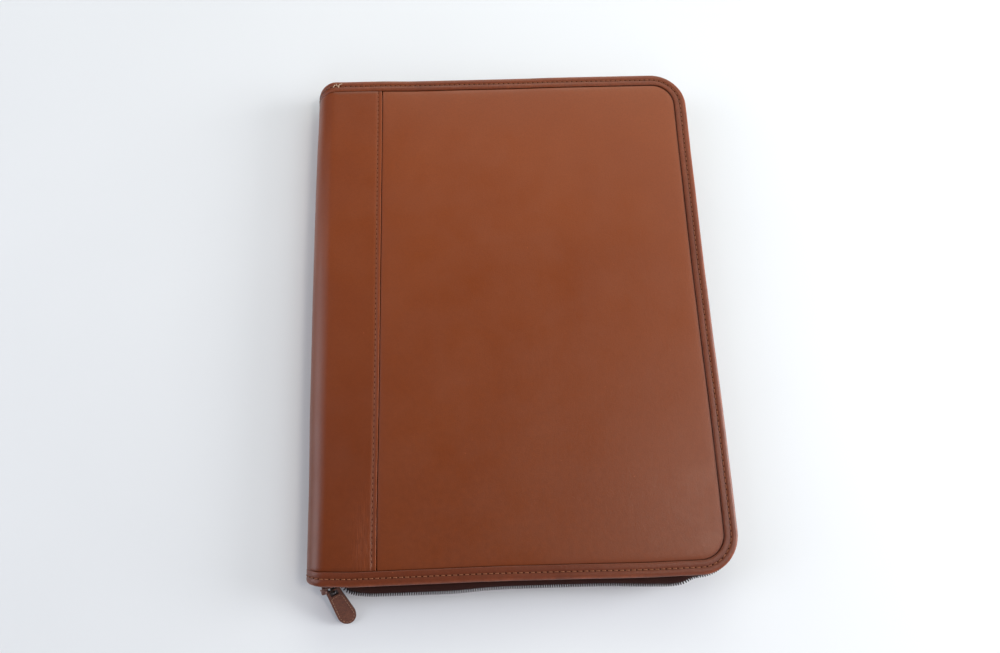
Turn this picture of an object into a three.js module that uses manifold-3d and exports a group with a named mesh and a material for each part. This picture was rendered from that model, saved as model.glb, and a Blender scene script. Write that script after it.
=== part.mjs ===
// A zipped leather document case, lying closed on its back cover with its spine at -X.
// Millimetres, +Z up. The origin is the middle of the back cover's outer face, which is the
// face that the case rests on. +X points to the fore-edge and +Y to the top of the case.
import * as THREE from "three";
import { mergeVertices } from "three/addons/utils/BufferGeometryUtils.js";
import Module from "manifold-3d";

const wasm = await Module();
wasm.setup();

// Overall sizes
const caseHeight = 343;
const caseWidth = 262;
const caseThickness = 27;
const cornerRadius = 24;
const clearance = 0.3;

// Covers
const panelThickness = 3;
const panelDrop = 0.6;
const crownHeight = 0.8;
const crownRun = 70;
const crownCornerRadius = 4;

// Spine wrap
const wrapThickness = 1.5;
const wrapReach = 46;
const seamOverlap = 12;
const spineEndDip = 2.6;
const wrapStepRun = 1;

// Edge binding
const bindingWidth = 8.5;
const bindingInnerWidth = 7.5;
const bindingThickness = 1.3;
const bindingRound = 1.8;

// Zip
const tapeThickness = 0.8;
const tapeSeat = 3.3;
const tapeTurn = 4.2;
const chainWidth = 5.6;
const chainThickness = 2;
const chainChamfer = 0.5;
const zipBulge = 4.8;
const stopLength = 3;

// Slider and its bail
const sliderLength = 12;
const sliderCheek = 1.7;
const sliderPlate = 0.9;
const sliderFromSpine = 15;
const sliderNoseOut = 0.6;
const sliderMouthOut = -2.6;
const flangeWidth = 0.8;
const flangeLength = 8.4;
const bridgeStart = 1;
const bridgeLength = 2.2;
const bridgeWidth = 2.6;
const domeHeight = 1;
const domeLength = 4.4;
const domeWidth = 7;
const domeBevel = 0.4;
const bailFromCentre = 2.5;
const bailWire = 0.9;
const bailDepth = 1.4;
const bailSpan = 4.4;

// Pull
const pullLength = 26;
const pullTipWidth = 9.8;
const pullTipLength = 6.2;
const pullThickness = 1.6;
const pullBar = 1.6;
const pullArm = 1.75;
const pullEyeSide = 1.75;
const pullEyePlay = 1.4;
const pullEyeTaper = 0.5;
const pullSwing = THREE.MathUtils.degToRad(25);

// Steps of the round stretches
const cornerSteps = 8;
const rollSteps = 14;
const tapeSteps = 4;
const foldSteps = 3;
const endSteps = 10;

// Worked out from the sizes above
const rollRadius = caseThickness / 2;
const rollX = -caseWidth / 2 + rollRadius;
const seamX = -caseWidth / 2 + wrapReach;
const middleZ = caseThickness / 2;
const edgeInset = bindingThickness + clearance;
const bindingLine = bindingWidth + clearance;
const tuckDepth = bindingThickness + clearance;
const coreDepth = Math.max(panelThickness, tuckDepth + wrapThickness) + clearance;
const edgeStack = coreDepth + bindingThickness;
const sliderWidth = chainWidth + 2 * sliderCheek;
const sliderMouthWidth = chainWidth + 2 * (clearance + flangeWidth);
const sliderX = -caseWidth / 2 + sliderFromSpine;
const sliderLean = Math.atan2(sliderNoseOut - sliderMouthOut, sliderLength);
const sliderHalfRun = (sliderLength / 2) * Math.cos(sliderLean);
const channelHalf = chainThickness / 2 + clearance;
const sliderFace = channelHalf + sliderPlate;

// The pull slopes from the bail down to the surface that the case lies on. The bail leaves room
// for the bar of the pull's eye, tilted and turned as it lies, and the eye leaves room for the bail.
const pullReach = pullLength - pullBar / 2;
const pullTilt = Math.asin((middleZ - pullThickness / 2 - clearance) / pullReach);
const pullTurn = pullSwing - sliderLean;
const barAcross = pullBar * Math.cos(pullTilt) + pullThickness * Math.sin(pullTilt);
const bailClear =
  barAcross / Math.cos(pullTurn) + bailDepth * Math.tan(pullTurn) + 2 * clearance;
const pullEyeLength =
  (bailClear / 2 + bailWire + pullEyePlay) / Math.cos(pullTilt) - pullBar / 2;
const pullEyeWidth = bailDepth + 2 * pullEyeSide;
const pullTopWidth = pullEyeWidth + 2 * pullArm;

// How far the zip stands out along its three sides. "along" is a share of that side's straight
// length, counted from the slider's mouth on the bottom side, from the bottom corner on the
// fore-edge and from the top corner on the top side. "out" is a share of zipBulge, at the chain's
// outer face.
const zipRows = [
  { side: "bottom", along: 0.028, out: 0.5 },
  { side: "bottom", along: 0.06, out: 0.82 },
  { side: "bottom", along: 0.115, out: 0.94 },
  { side: "bottom", along: 0.308, out: 1 },
  { side: "bottom", along: 0.448, out: 0.72 },
  { side: "bottom", along: 0.585, out: 0.66 },
  { side: "bottom", along: 0.73, out: 0.65 },
  { side: "bottom", along: 0.865, out: 0.84 },
  { side: "bottom", along: 0.923, out: 0.92 },
  { side: "bottom", along: 0.953, out: 0.76 },
  { side: "bottom", along: 0.981, out: 0.24 },
  { side: "fore", along: 0.08, out: 0.1 },
  { side: "fore", along: 0.5, out: 0.36 },
  { side: "fore", along: 0.92, out: 0.1 },
  { side: "top", along: 0.1, out: 0.12 },
  { side: "top", along: 0.5, out: 0.36 },
  { side: "top", along: 0.9, out: 0.12 },
];
const cornerOut = 0.05;

// The front cover's padded face. "inward" is a share of crownRun and "rise" of crownHeight.
const crownRows = [
  { inward: 0.05, rise: 0.5 },
  { inward: 0.2, rise: 0.75 },
  { inward: 0.5, rise: 0.92 },
  { inward: 1, rise: 1 },
];

// The slider's outline seen from outside. "along" is a share of its length from the mouth to the
// nose, and "width" is a share of sliderWidth, or of sliderMouthWidth at the mouth.
const noseRows = [
  { along: 0.35, width: 0.86 },
  { along: 0.6, width: 1 },
  { along: 0.86, width: 1 },
  { along: 0.96, width: 0.8 },
  { along: 1, width: 0.5 },
];

const group = new THREE.Group();

const leather = { color: 0x7e4527, roughness: 0.45, metalness: 0 };
const darkLeather = { color: 0x6b4636, roughness: 0.5, metalness: 0 };
const zipTape = { color: 0x2c1517, roughness: 0.9, metalness: 0 };
const zipTeeth = { color: 0x24100f, roughness: 0.6, metalness: 0 };
const brownMetal = { color: 0x7a5548, roughness: 0.35, metalness: 0.7 };

function place(name, geometry, finish) {
  const mesh = new THREE.Mesh(geometry, new THREE.MeshStandardMaterial(finish));
  mesh.name = name;
  group.add(mesh);
  return mesh;
}

function signedVolume(positions, index) {
  const corner = (i) => new THREE.Vector3().fromArray(positions, index[i] * 3);
  let sum = 0;
  for (let i = 0; i < index.length; i += 3) {
    sum += corner(i).dot(corner(i + 1).cross(corner(i + 2)));
  }
  return sum / 6;
}

// Makes a geometry whose faces point out, whichever way its sections run.
function closedBody(positions, index) {
  if (signedVolume(positions, index) < 0) {
    index.reverse();
  }
  const geometry = new THREE.BufferGeometry();
  geometry.setAttribute("position", new THREE.Float32BufferAttribute(positions, 3));
  geometry.setIndex(index);
  geometry.computeVertexNormals();
  return geometry;
}

// The triangles that close a flat section, wound the way its outline runs.
function flatEnd(outline) {
  const triangles = THREE.ShapeUtils.triangulateShape(outline, []);
  return THREE.ShapeUtils.isClockWise(outline) ? triangles.map(([a, b, c]) => [a, c, b]) : triangles;
}

// The triangles that close a strip's section, whose points run along one face and back along the
// other.
function stripEnd(count) {
  return Array.from({ length: count / 2 - 1 }, (_, i) => [
    [i, i + 1, count - 2 - i],
    [i, count - 2 - i, count - 1 - i],
  ]).flat();
}

// Joins a row of sections, each with the same number of points, into one body. A row with end
// triangles is closed by them at both ends, and a row without them joins its last section to its
// first.
function loft(sections, endTriangles) {
  const count = sections[0].length;
  const positions = sections.flat().flatMap((point) => [point.x, point.y, point.z]);
  const index = [];
  const joins = endTriangles ? sections.length - 1 : sections.length;
  for (let i = 0; i < joins; i += 1) {
    const here = i * count;
    const there = ((i + 1) % sections.length) * count;
    for (let j = 0; j < count; j += 1) {
      const next = (j + 1) % count;
      index.push(here + j, here + next, there + next);
      index.push(here + j, there + next, there + j);
    }
  }
  const last = (sections.length - 1) * count;
  for (const [a, b, c] of endTriangles ?? []) {
    index.push(a, c, b);
    index.push(last + a, last + b, last + c);
  }
  return closedBody(positions, index);
}

function solidOf(geometry) {
  const bare = geometry.index ? geometry.toNonIndexed() : geometry.clone();
  bare.deleteAttribute("normal");
  bare.deleteAttribute("uv");
  const merged = mergeVertices(bare, 1e-4);
  return new wasm.Manifold(
    new wasm.Mesh({
      numProp: 3,
      vertProperties: new Float32Array(merged.attributes.position.array),
      triVerts: new Uint32Array(merged.index.array),
    }),
  );
}

function geometryOf(solid) {
  const mesh = solid.getMesh();
  const geometry = new THREE.BufferGeometry();
  geometry.setAttribute("position", new THREE.BufferAttribute(mesh.vertProperties, 3));
  geometry.setIndex(new THREE.BufferAttribute(mesh.triVerts, 1));
  geometry.computeVertexNormals();
  return geometry;
}

function joined(geometries) {
  const [first, ...others] = geometries.map(solidOf);
  return geometryOf(others.reduce((whole, solid) => whole.add(solid), first));
}

// A box from its lowest to its highest corner.
function block(low, high) {
  const geometry = new THREE.BoxGeometry(high[0] - low[0], high[1] - low[1], high[2] - low[2]);
  return geometry.translate(
    (low[0] + high[0]) / 2,
    (low[1] + high[1]) / 2,
    (low[2] + high[2]) / 2,
  );
}

// Points of a quarter turn about a centre, from one angle to another.
function arcPoints(centreX, centreY, radius, startAngle, endAngle, steps) {
  return Array.from({ length: steps + 1 }, (_, i) => {
    const angle = startAngle + ((endAngle - startAngle) * i) / steps;
    return new THREE.Vector2(
      centreX + radius * Math.cos(angle),
      centreY + radius * Math.sin(angle),
    );
  });
}

// A cover's outline, "inset" inside the case's edge, with its spine side at startX.
function coverOutline(inset, startX) {
  const radius = Math.max(cornerRadius - inset, crownCornerRadius);
  const right = caseWidth / 2 - inset - radius;
  const top = caseHeight / 2 - inset - radius;
  return [
    new THREE.Vector2(startX, -top - radius),
    ...arcPoints(right, -top, radius, -Math.PI / 2, 0, cornerSteps),
    ...arcPoints(right, top, radius, 0, Math.PI / 2, cornerSteps),
    new THREE.Vector2(startX, top + radius),
  ];
}

// Turns a depth under the outer face of the front or back cover into a height.
function heightAt(depth, isFront) {
  return isFront ? caseThickness - depth : depth;
}

// One stiff cover: a plate whose edge is thinned to slip into the binding, with a thin tongue
// that runs under the spine wrap.
function coverPanel(isFront) {
  const drop = isFront ? panelDrop : 0;
  const startX = seamX + clearance;
  const rings = [
    { inset: edgeInset, depth: panelThickness, inward: 0 },
    { inset: edgeInset, depth: tuckDepth, inward: 0 },
    { inset: bindingLine, depth: tuckDepth, inward: 0 },
    { inset: bindingLine, depth: drop, inward: 0 },
  ];
  if (isFront) {
    for (const { inward, rise } of crownRows) {
      const run = inward * crownRun;
      rings.push({ inset: bindingLine + run, depth: drop - rise * crownHeight, inward: run });
    }
  }
  const sections = rings.map(({ inset, depth, inward }) =>
    coverOutline(inset, startX + inward).map(
      (point) => new THREE.Vector3(point.x, point.y, heightAt(depth, isFront)),
    ),
  );
  const plate = loft(sections, flatEnd(coverOutline(edgeInset, startX)));
  const tongueEnd = caseHeight / 2 - bindingLine - wrapStepRun - clearance;
  const faces = [wrapThickness + clearance, panelThickness].map((d) => heightAt(d, isFront));
  const tongue = block(
    [seamX - seamOverlap, -tongueEnd, Math.min(...faces)],
    [startX + seamOverlap, tongueEnd, Math.max(...faces)],
  );
  return joined([plate, tongue]);
}

// The path across the spine at the case's outer face, from the front seam round to the back one:
// each point with its outward direction and how far the case's ends draw in there.
function spinePath(firstX, lastX) {
  const roll = Array.from({ length: rollSteps + 1 }, (_, i) => {
    const angle = Math.PI / 2 + (Math.PI * i) / rollSteps;
    const outward = new THREE.Vector3(Math.cos(angle), 0, Math.sin(angle));
    return {
      x: rollX + rollRadius * outward.x,
      z: middleZ + rollRadius * outward.z,
      outward,
      dip: spineEndDip * outward.x ** 2,
    };
  });
  const front = { x: firstX, z: caseThickness, outward: roll[0].outward, dip: 0 };
  const back = { x: lastX, z: 0, outward: roll[rollSteps].outward, dip: 0 };
  return [front, ...roll, back];
}

// The spine wrap: one sheet over the roll and onto both covers. Its ends are pressed in by the
// binding's thickness where the binding covers them.
function spineWrap() {
  const path = spinePath(seamX, seamX);
  const rows = [
    { side: -1, inset: edgeInset, sink: tuckDepth },
    { side: -1, inset: bindingLine, sink: tuckDepth },
    { side: -1, inset: bindingLine + wrapStepRun, sink: 0 },
    { side: 1, inset: bindingLine + wrapStepRun, sink: 0 },
    { side: 1, inset: bindingLine, sink: tuckDepth },
    { side: 1, inset: edgeInset, sink: tuckDepth },
  ];
  const sections = rows.map(({ side, inset, sink }) => {
    const at = (depth) => ({ x, z, outward, dip }) =>
      new THREE.Vector3(x, side * (caseHeight / 2 - inset - dip), z).addScaledVector(
        outward,
        -depth,
      );
    const outer = path.map(at(sink));
    const inner = path.map(at(sink + wrapThickness)).reverse();
    return [...outer, ...inner];
  });
  return loft(sections, stripEnd(sections[0].length));
}

// Places along the case's edge on one cover, from the bottom of the spine round the fore-edge to
// the top of the spine, each with the direction that points out of the edge.
function edgeStations() {
  const right = caseWidth / 2 - cornerRadius;
  const top = caseHeight / 2 - cornerRadius;
  const corner = (centreY, startAngle) =>
    Array.from({ length: cornerSteps + 1 }, (_, i) => {
      const angle = startAngle + ((Math.PI / 2) * i) / cornerSteps;
      const out = new THREE.Vector3(Math.cos(angle), Math.sin(angle), 0);
      return { at: new THREE.Vector3(right, centreY, 0).addScaledVector(out, cornerRadius), out };
    });
  const down = new THREE.Vector3(0, -1, 0);
  const up = new THREE.Vector3(0, 1, 0);
  return [
    { at: new THREE.Vector3(rollX, -caseHeight / 2, 0), out: down },
    ...corner(-top, -Math.PI / 2),
    ...corner(top, 0),
    { at: new THREE.Vector3(rollX, caseHeight / 2, 0), out: up },
  ];
}

// The binding: one strip folded round the whole edge, over both covers and both spine ends.
function edgeBinding() {
  const face = edgeStations();
  const onFront = face.map(({ at, out }) => ({
    at: at.clone().setZ(caseThickness),
    out,
    outward: new THREE.Vector3(0, 0, 1),
  }));
  const onBack = face
    .map(({ at, out }) => ({ at: at.clone(), out, outward: new THREE.Vector3(0, 0, -1) }))
    .reverse();
  const roll = spinePath(rollX, rollX).slice(2, -2);
  const overEnd = (side) =>
    roll.map(({ x, z, outward, dip }) => ({
      at: new THREE.Vector3(x, side * (caseHeight / 2 - dip), z),
      out: new THREE.Vector3(0, side, 0),
      outward,
    }));
  const stations = [...onFront, ...overEnd(1), ...onBack, ...overEnd(-1).reverse()];
  const fold = (centreDepth, startAngle) =>
    arcPoints(
      -bindingRound,
      centreDepth,
      bindingRound,
      startAngle,
      startAngle + Math.PI / 2,
      foldSteps,
    );
  const outline = [
    new THREE.Vector2(-bindingWidth, 0),
    ...fold(bindingRound, -Math.PI / 2),
    ...fold(edgeStack - bindingRound, 0),
    new THREE.Vector2(-bindingInnerWidth, edgeStack),
    new THREE.Vector2(-bindingInnerWidth, coreDepth),
    new THREE.Vector2(-bindingThickness, coreDepth),
    new THREE.Vector2(-bindingThickness, bindingThickness),
    new THREE.Vector2(-bindingWidth, bindingThickness),
  ];
  const sections = stations.map(({ at, out, outward }) =>
    outline.map((point) =>
      at.clone().addScaledVector(out, point.x).addScaledVector(outward, -point.y),
    ),
  );
  return loft(sections, null);
}

// Places along the zip, like edgeStations, with "reach" how far the chain's middle lies outside
// the leather's edge. Under the slider the zip leans out from the slider's mouth to its nose.
function zipStations(startX, endX) {
  const faceOut = (share) => share * zipBulge - chainThickness / 2;
  const right = caseWidth / 2 - cornerRadius;
  const top = caseHeight / 2 - cornerRadius;
  const mouthX = sliderX + sliderHalfRun;
  const slope = (sliderNoseOut - sliderMouthOut) / (2 * sliderHalfRun);
  const edges = edgeStations();
  const corners = edges.slice(1, -1).map((station) => ({ ...station, reach: faceOut(cornerOut) }));
  const sides = {
    bottom: {
      from: new THREE.Vector3(mouthX, -caseHeight / 2, 0),
      to: new THREE.Vector3(right, -caseHeight / 2, 0),
      out: edges[0].out,
    },
    fore: {
      from: new THREE.Vector3(caseWidth / 2, -top, 0),
      to: new THREE.Vector3(caseWidth / 2, top, 0),
      out: new THREE.Vector3(1, 0, 0),
    },
    top: {
      from: new THREE.Vector3(right, caseHeight / 2, 0),
      to: new THREE.Vector3(rollX, caseHeight / 2, 0),
      out: edges.at(-1).out,
    },
  };
  const rowsOf = (name) =>
    zipRows
      .filter(({ side }) => side === name)
      .map(({ along, out }) => ({
        at: sides[name].from.clone().lerp(sides[name].to, along),
        out: sides[name].out,
        reach: faceOut(out),
      }));
  const underSlider = [startX, mouthX].map((x) => ({
    at: new THREE.Vector3(x, -caseHeight / 2, 0),
    out: sides.bottom.out,
    reach: sliderMouthOut + slope * (mouthX - x),
  }));
  return [
    ...underSlider,
    ...rowsOf("bottom"),
    ...corners.slice(0, cornerSteps + 1),
    ...rowsOf("fore"),
    ...corners.slice(cornerSteps + 1),
    ...rowsOf("top"),
    {
      at: new THREE.Vector3(endX, caseHeight / 2, 0),
      out: sides.top.out,
      reach: faceOut(cornerOut),
    },
  ];
}

// One side of the zip's tape: it lies flat under the binding, then turns down to the chain.
function zipTapeSide(isFront) {
  const seatZ = caseThickness - edgeStack - clearance - tapeThickness / 2;
  const chainZ = middleZ + chainWidth / 2 + clearance;
  const centreLine = (reach) => {
    const turn = Array.from({ length: tapeSteps + 1 }, (_, i) => {
      const angle = ((Math.PI / 2) * i) / tapeSteps;
      return new THREE.Vector2(
        -tapeTurn + (reach + tapeTurn) * Math.sin(angle),
        chainZ + (seatZ - chainZ) * Math.cos(angle),
      );
    });
    return [new THREE.Vector2(-tapeTurn - tapeSeat, seatZ), ...turn];
  };
  // The flat seat's thickness stands up and the chain's edge of the tape stands out, so the
  // direction of the thickness turns with the centre line.
  const outline = (reach) => {
    const line = centreLine(reach);
    const side = (sign) =>
      line.map((point, i) => {
        const before = line[Math.max(i - 1, 0)];
        const after = line[Math.min(i + 1, line.length - 1)];
        const along = after.clone().sub(before).normalize();
        return new THREE.Vector2(
          point.x - along.y * sign * (tapeThickness / 2),
          point.y + along.x * sign * (tapeThickness / 2),
        );
      });
    return [...side(1), ...side(-1).reverse()];
  };
  const stations = zipStations(rollX + clearance, rollX + clearance);
  const sections = stations.map(({ at, out, reach }) =>
    outline(reach).map((point) => {
      const height = isFront ? point.y : caseThickness - point.y;
      return at.clone().addScaledVector(out, point.x).setZ(height);
    }),
  );
  return loft(sections, stripEnd(sections[0].length));
}

// The closed chain of teeth, a plain strip between the tapes.
function chainOutline() {
  const halfOut = chainThickness / 2;
  const halfUp = chainWidth / 2;
  const corners = [
    [halfOut - chainChamfer, -halfUp],
    [halfOut, -halfUp + chainChamfer],
    [halfOut, halfUp - chainChamfer],
    [halfOut - chainChamfer, halfUp],
    [-halfOut + chainChamfer, halfUp],
    [-halfOut, halfUp - chainChamfer],
    [-halfOut, -halfUp + chainChamfer],
    [-halfOut + chainChamfer, -halfUp],
  ];
  return corners.map(([x, y]) => new THREE.Vector2(x, y));
}

function chainBody(stations) {
  const outline = chainOutline();
  const sections = stations.map(({ at, out, reach }) =>
    outline.map((point) =>
      at
        .clone()
        .addScaledVector(out, reach + point.x)
        .setZ(middleZ + point.y),
    ),
  );
  return loft(sections, flatEnd(outline));
}

// Measured along the chain from the slider's nose, the bridge ends here.
const bridgeEnd = bridgeStart + bridgeLength;
const chainStartX = sliderX - (sliderLength / 2 - bridgeEnd - clearance) * Math.cos(sliderLean);
const stopStartX = rollX + clearance;
const chainEndX = stopStartX + stopLength + clearance;

function zipStop() {
  const stations = zipStations(chainStartX, chainEndX);
  const end = stations.at(-1);
  return chainBody([
    { ...end, at: end.at.clone().setX(chainEndX - clearance) },
    { ...end, at: end.at.clone().setX(stopStartX) },
  ]);
}

// The slider: two plates joined by a bridge at the nose, with flanges that hold the tape and a
// bail across the outer plate. Here x runs from the nose to the mouth and -y points outward.
function zipSlider() {
  const halfLength = sliderLength / 2;
  const slit = tapeThickness / 2 + clearance;
  const insidePlate = channelHalf + sliderPlate / 2;
  const mouth = new THREE.Vector2(halfLength, sliderMouthWidth / 2);
  const upper = [
    mouth,
    ...noseRows.map(
      ({ along, width }) =>
        new THREE.Vector2(halfLength - along * sliderLength, (width * sliderWidth) / 2),
    ),
  ];
  const lower = upper.map((point) => new THREE.Vector2(point.x, -point.y)).reverse();
  const plateShape = new THREE.Shape([...upper, ...lower]);
  const plate = (fromY) =>
    new THREE.ExtrudeGeometry(plateShape, { depth: sliderPlate, bevelEnabled: false })
      .rotateX(Math.PI / 2)
      .translate(0, fromY + sliderPlate, 0);
  const flangeFoot = sliderMouthWidth / 2 - flangeWidth;
  const flange = (side, face) =>
    block(
      [
        halfLength - flangeLength,
        face < 0 ? -insidePlate : slit,
        side < 0 ? -sliderMouthWidth / 2 : flangeFoot,
      ],
      [
        halfLength,
        face < 0 ? -slit : insidePlate,
        side < 0 ? -flangeFoot : sliderMouthWidth / 2,
      ],
    );
  const bridge = block(
    [-halfLength + bridgeStart, -insidePlate, -bridgeWidth / 2],
    [-halfLength + bridgeEnd, insidePlate, bridgeWidth / 2],
  );
  const domeStart = -halfLength + domeBevel;
  const domeShape = new THREE.Shape([
    new THREE.Vector2(domeStart, -domeWidth / 4),
    new THREE.Vector2(domeStart + domeLength / 2, -domeWidth / 2),
    new THREE.Vector2(domeStart + domeLength, -domeWidth / 2),
    new THREE.Vector2(domeStart + domeLength, domeWidth / 2),
    new THREE.Vector2(domeStart + domeLength / 2, domeWidth / 2),
    new THREE.Vector2(domeStart, domeWidth / 4),
  ]);
  const dome = new THREE.ExtrudeGeometry(domeShape, {
    depth: domeHeight + sliderPlate / 2 - 2 * domeBevel,
    bevelThickness: domeBevel,
    bevelSize: domeBevel,
    bevelSegments: 1,
  })
    .rotateX(Math.PI / 2)
    .translate(0, -insidePlate - domeBevel, 0);
  const bailOuter = bailClear + bailWire;
  const bailShape = new THREE.Shape([
    new THREE.Vector2(-bailSpan / 2 - bailWire, -sliderPlate / 2),
    new THREE.Vector2(-bailSpan / 2 - bailWire, bailOuter - bailWire),
    new THREE.Vector2(-bailSpan / 2, bailOuter),
    new THREE.Vector2(bailSpan / 2, bailOuter),
    new THREE.Vector2(bailSpan / 2 + bailWire, bailOuter - bailWire),
    new THREE.Vector2(bailSpan / 2 + bailWire, -sliderPlate / 2),
    new THREE.Vector2(bailSpan / 2, -sliderPlate / 2),
    new THREE.Vector2(bailSpan / 2, bailClear),
    new THREE.Vector2(-bailSpan / 2, bailClear),
    new THREE.Vector2(-bailSpan / 2, -sliderPlate / 2),
  ]);
  const bail = new THREE.ExtrudeGeometry(bailShape, { depth: bailDepth, bevelEnabled: false })
    .rotateZ(Math.PI / 2)
    .rotateY(Math.PI / 2)
    .rotateX(Math.PI / 2)
    .translate(bailFromCentre - bailDepth / 2, -sliderFace, 0);
  return joined([
    plate(-sliderFace),
    plate(channelHalf),
    flange(-1, -1),
    flange(1, -1),
    flange(-1, 1),
    flange(1, 1),
    bridge,
    dome,
    bail,
  ]);
}

place("front_panel", coverPanel(true), leather);
place("back_panel", coverPanel(false), leather);
place("spine_wrap", spineWrap(), leather);
place("edge_binding", edgeBinding(), leather);
place("zip_tape_front", zipTapeSide(true), zipTape);
place("zip_tape_back", zipTapeSide(false), zipTape);
place("zip_chain", chainBody(zipStations(chainStartX, chainEndX)), zipTeeth);
place("zip_stop", zipStop(), brownMetal);

const sliderMiddleOut = (sliderNoseOut + sliderMouthOut) / 2;
const slider = place("zip_slider", zipSlider(), brownMetal);
slider.position.set(sliderX, -caseHeight / 2 - sliderMiddleOut, middleZ);
slider.rotation.z = sliderLean;

// The pull: a leather tab whose eye hangs on the bail. It is drawn with its eye's bar at the
// origin and its length along -y, then turned and tilted until its tip meets the table.
function zipPull() {
  const eyeTop = -pullBar / 2;
  const eyeBottom = eyeTop - pullEyeLength;
  const eyeHalf = pullEyeWidth / 2;
  const eyeFoot = eyeHalf - pullEyeTaper;
  const tipStart = pullBar / 2 - pullLength + pullTipLength;
  const tipHalf = pullTipWidth / 2;
  const topHalf = pullTopWidth / 2;
  const shape = new THREE.Shape();
  shape.moveTo(-topHalf, eyeTop);
  shape.lineTo(-tipHalf, tipStart);
  shape.absellipse(0, tipStart, tipHalf, pullTipLength, Math.PI, 2 * Math.PI, false);
  shape.lineTo(topHalf, eyeTop);
  shape.absellipse(0, eyeTop, topHalf, pullBar, 0, Math.PI, false);
  const eye = new THREE.Path();
  eye.moveTo(-eyeHalf, eyeTop);
  eye.lineTo(eyeHalf, eyeTop);
  eye.lineTo(eyeFoot, eyeBottom);
  eye.lineTo(-eyeFoot, eyeBottom);
  shape.holes.push(eye);
  return new THREE.ExtrudeGeometry(shape, {
    depth: pullThickness,
    bevelEnabled: false,
    curveSegments: endSteps,
  }).translate(0, 0, -pullThickness / 2);
}

// The eye's bar sits halfway between the slider's outer plate and the crown of its bail.
const pivot = new THREE.Vector3(bailFromCentre, -sliderFace - bailClear / 2, 0);
pivot.applyAxisAngle(new THREE.Vector3(0, 0, 1), sliderLean).add(slider.position);
const pull = place("zip_pull", zipPull(), darkLeather);
pull.position.copy(pivot);
pull.rotation.set(pullTilt, 0, pullSwing, "ZYX");

export default group;
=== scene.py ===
"""The looks of a zipped leather document case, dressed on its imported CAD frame.

Metres, +Z up. The case lies closed on its back cover, with its spine at -X and its top at +Y.
"""

import math

import bmesh
import bpy
from mathutils import Matrix, Vector, noise


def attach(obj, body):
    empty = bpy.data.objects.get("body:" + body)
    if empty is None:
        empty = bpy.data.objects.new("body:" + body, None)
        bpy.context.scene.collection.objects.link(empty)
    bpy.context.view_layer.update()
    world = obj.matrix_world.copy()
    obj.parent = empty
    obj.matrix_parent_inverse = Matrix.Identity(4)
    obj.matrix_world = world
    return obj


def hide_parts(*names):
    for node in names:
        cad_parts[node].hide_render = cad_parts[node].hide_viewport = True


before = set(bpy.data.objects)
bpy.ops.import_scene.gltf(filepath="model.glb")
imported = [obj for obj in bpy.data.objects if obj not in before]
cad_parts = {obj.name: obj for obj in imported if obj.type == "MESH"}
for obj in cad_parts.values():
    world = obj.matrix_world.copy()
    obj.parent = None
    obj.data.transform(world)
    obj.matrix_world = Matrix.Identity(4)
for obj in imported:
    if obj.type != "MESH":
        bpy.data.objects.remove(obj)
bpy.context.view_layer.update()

# Overall sizes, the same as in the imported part
case_height = 0.343
case_width = 0.262
case_thickness = 0.027
corner_radius = 0.024
clearance = 0.0003
soft_edge = 0.0003
hair = 0.00001

# Covers
panel_thickness = 0.003
panel_drop = 0.0006
crown_height = 0.0008
crown_width = 0.02
edge_roll_width = 0.0016
back_roll_depth = 0.0004
back_roll_width = 0.0012
groove_play = 0.00015
tongue_gap = 0.0013
rim_round = 0.00025
face_swell = 0.00009
groove_line = 0.00025
face_insets = (0.0003, 0.0003, 0.0004, 0.0006, 0.0009, 0.0015, 0.0025, 0.004, 0.004)
face_columns = 30
face_rows = 48
face_cut_left = 0.0148
face_cut_right = 0.0222
face_cut_high = 0.1482

# Spine wrap
wrap_thickness = 0.0015
wrap_reach = 0.046
seam_overlap = 0.012
spine_end_dip = 0.0026
top_end_dip = 0.0046
press_width = 0.0008
seam_channel_depth = 0.0003
seam_channel_width = 0.0007
spine_rows = 110
spine_swell = 0.00012
seam_channel_steps = (0.0004, 0.0012, 0.0006, 0.0004, 0.0004, 0.0006, 0.0012)

# Edge binding
binding_width = 0.0085
binding_inner_width = 0.0075
binding_thickness = 0.0013
binding_round = 0.0018
binding_cut_round = 0.00018
binding_sway = 0.0002
binding_puff = 0.00007
front_face_from = 0.0262
stitch_inset = 0.0045
stitch_pitch = 0.0035
seam_stitch_inset = 0.0026
seam_stitch_size = 0.72
stitch_length = 0.0026
stitch_steps = (0.0003, 0.0004, 0.0006, 0.0006, 0.0004, 0.0003)
thread_radius = 0.00027
stitch_rise = 0.00016
stitch_plunge = 0.0006
hole_radius = 0.00048
row_depth = 0.00012
back_row_depth = 0.00022

# Zip
tape_thickness = 0.0007
tape_seat = 0.0033
tape_turn = 0.0042
chain_width = 0.0056
chain_half_depth = 0.001
zip_bulge = 0.0048
zip_lean = 0.5
tooth_pitch = 0.0014
tooth_width = 0.00066
tooth_reach = 0.0038
tooth_height = 0.0034
tooth_rise = 0.0011
tooth_set_back = 0.0001
tooth_round = 0.00024
tape_set_back = 0.0014
lower_teeth_set_back = 0.0009

# Slider and its bail
slider_length = 0.012
slider_cheek = 0.0017
slider_plate = 0.0009
slider_from_spine = 0.015
slider_nose_out = 0.0006
slider_mouth_out = -0.0026
bail_from_centre = 0.0008
bail_wire = 0.0009
bail_depth = 0.0014
bail_span = 0.0044
bail_bend = 0.0011
flange_length = 0.0084
flange_width = 0.0008
bridge_length = 0.0022
bridge_half = 0.0013
dome_rise = 0.0026
dome_seat = 0.0006
dome_round = 0.0011
plate_round = 0.00034
flange_round = 0.00022
dome_rows = ((0.0, 0.0022), (0.0006, 0.0032), (0.0014, 0.0037), (0.0038, 0.0037))

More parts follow.
